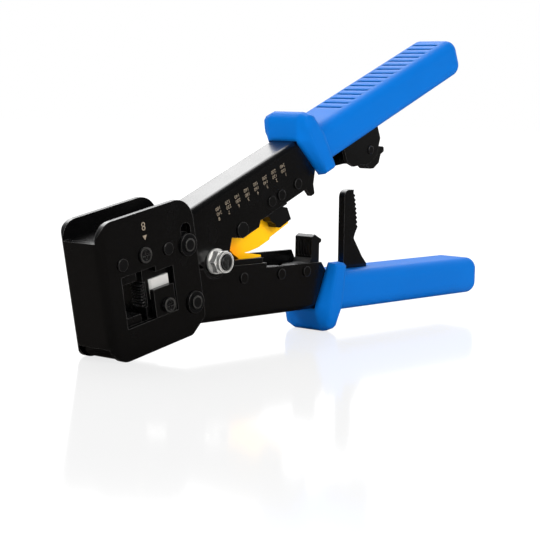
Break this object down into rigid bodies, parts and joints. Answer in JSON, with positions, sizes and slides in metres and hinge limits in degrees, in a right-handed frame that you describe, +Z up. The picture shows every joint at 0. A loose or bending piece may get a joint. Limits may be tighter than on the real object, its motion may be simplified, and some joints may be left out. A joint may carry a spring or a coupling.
{
  "type": "crimping tool",
  "caption": "Ratcheting hand crimping tool: a boxed head with a ram and plug nest on two pivoted channel arms with sleeve grips, a toothed rack, a sprung pawl and a blade guard.",
  "frame": {"origin": "centre of the bounding box footprint on the surface that the tool stands on, on edge", "axes": "+X along the tool from the head to the grips, +Y across it, +Z up"},
  "size_m": [0.2278, 0.026, 0.1173],
  "materials": {
    "painted_steel": "satin black coat",
    "bare_steel": "brushed",
    "dark_pin": "blackened",
    "nut_steel": "bright",
    "grip_plastic": "satin blue",
    "guard_plastic": "satin yellow",
    "spring_wire": "drawn wire"
  },
  "bodies": {
    "lower_handle": {"lower_channel": "painted_steel", "near_cheek": "painted_steel", "far_cheek": "painted_steel", "knee_bolt": "dark_pin", "knee_nut": "nut_steel", "knee_washers": "nut_steel", "knee_roller": "bare_steel", "head_pin": "dark_pin", "head_pin_clips": "dark_pin", "head_pin_washers": "dark_pin", "lower_rivets": "dark_pin", "strip_anvil": "painted_steel", "cutter_block": "painted_steel", "cutter_blade": "bare_steel", "ratchet_rack": "painted_steel", "rack_rivets": "dark_pin", "return_spring": "spring_wire", "lower_grip": "grip_plastic"},
    "upper_handle": {"upper_channel": "painted_steel", "slot_pin": "dark_pin", "slot_pin_clips": "dark_pin", "slot_pin_washers": "dark_pin", "upper_rivets": "dark_pin", "strip_block": "painted_steel", "strip_blade": "bare_steel", "cutter_anvil": "painted_steel", "guard_pin": "dark_pin", "ratchet_bracket": "painted_steel", "bracket_rivets": "dark_pin", "pawl_pin": "dark_pin", "pawl_spring": "spring_wire", "upper_grip": "grip_plastic"},
    "head": {"head_frame": "painted_steel", "die_block": "painted_steel", "connector_nest": "painted_steel", "block_screw": "dark_pin", "block_rivets": "dark_pin"},
    "ram": {"ram_body": "painted_steel", "crimping_comb": "bare_steel", "trimming_blade": "bare_steel", "blade_clamp": "painted_steel", "clamp_screw": "dark_pin"},
    "blade_guard": {"blade_guard": "guard_plastic"},
    "ratchet_pawl": {"ratchet_pawl": "painted_steel"}
  },
  "joints": [
    {"name": "handle_close", "type": "hinge", "parent": "lower_handle", "child": "upper_handle", "pos_m": [-0.05312, 0, 0.03189], "axis": [0, 1, 0], "range_deg": [0, 21], "stiffness_Nm_per_rad": 0.6, "springref_deg": -25.78},
    {"name": "head_turn", "type": "hinge", "parent": "lower_handle", "child": "head", "pos_m": [-0.0667, 0, 0.01828], "axis": [0, 1, 0], "range_deg": [0, 10.5], "deforming": ["return_spring"]},
    {"name": "ram_slide", "type": "slide", "parent": "head", "child": "ram", "axis": [-0.9803, 0, -0.1977], "range_m": [0, 0.00223]},
    {"name": "guard_swing", "type": "hinge", "parent": "upper_handle", "child": "blade_guard", "pos_m": [-0.0387, 0, 0.04272], "axis": [0, 1, 0], "range_deg": [0, 12], "stiffness_Nm_per_rad": 0.05, "springref_deg": -17.19},
    {"name": "pawl_swing", "type": "hinge", "parent": "upper_handle", "child": "ratchet_pawl", "pos_m": [0.03979, 0, 0.07149], "axis": [0, 1, 0], "range_deg": [-20, 20], "stiffness_Nm_per_rad": 0.02, "deforming": ["pawl_spring"]}
  ],
  "couplings": [
    {"joint": "head_turn", "follows": "handle_close", "ratio": 0.5},
    {"joint": "ram_slide", "follows": "handle_close", "m_per_rad": 0.0060262}
  ]
}
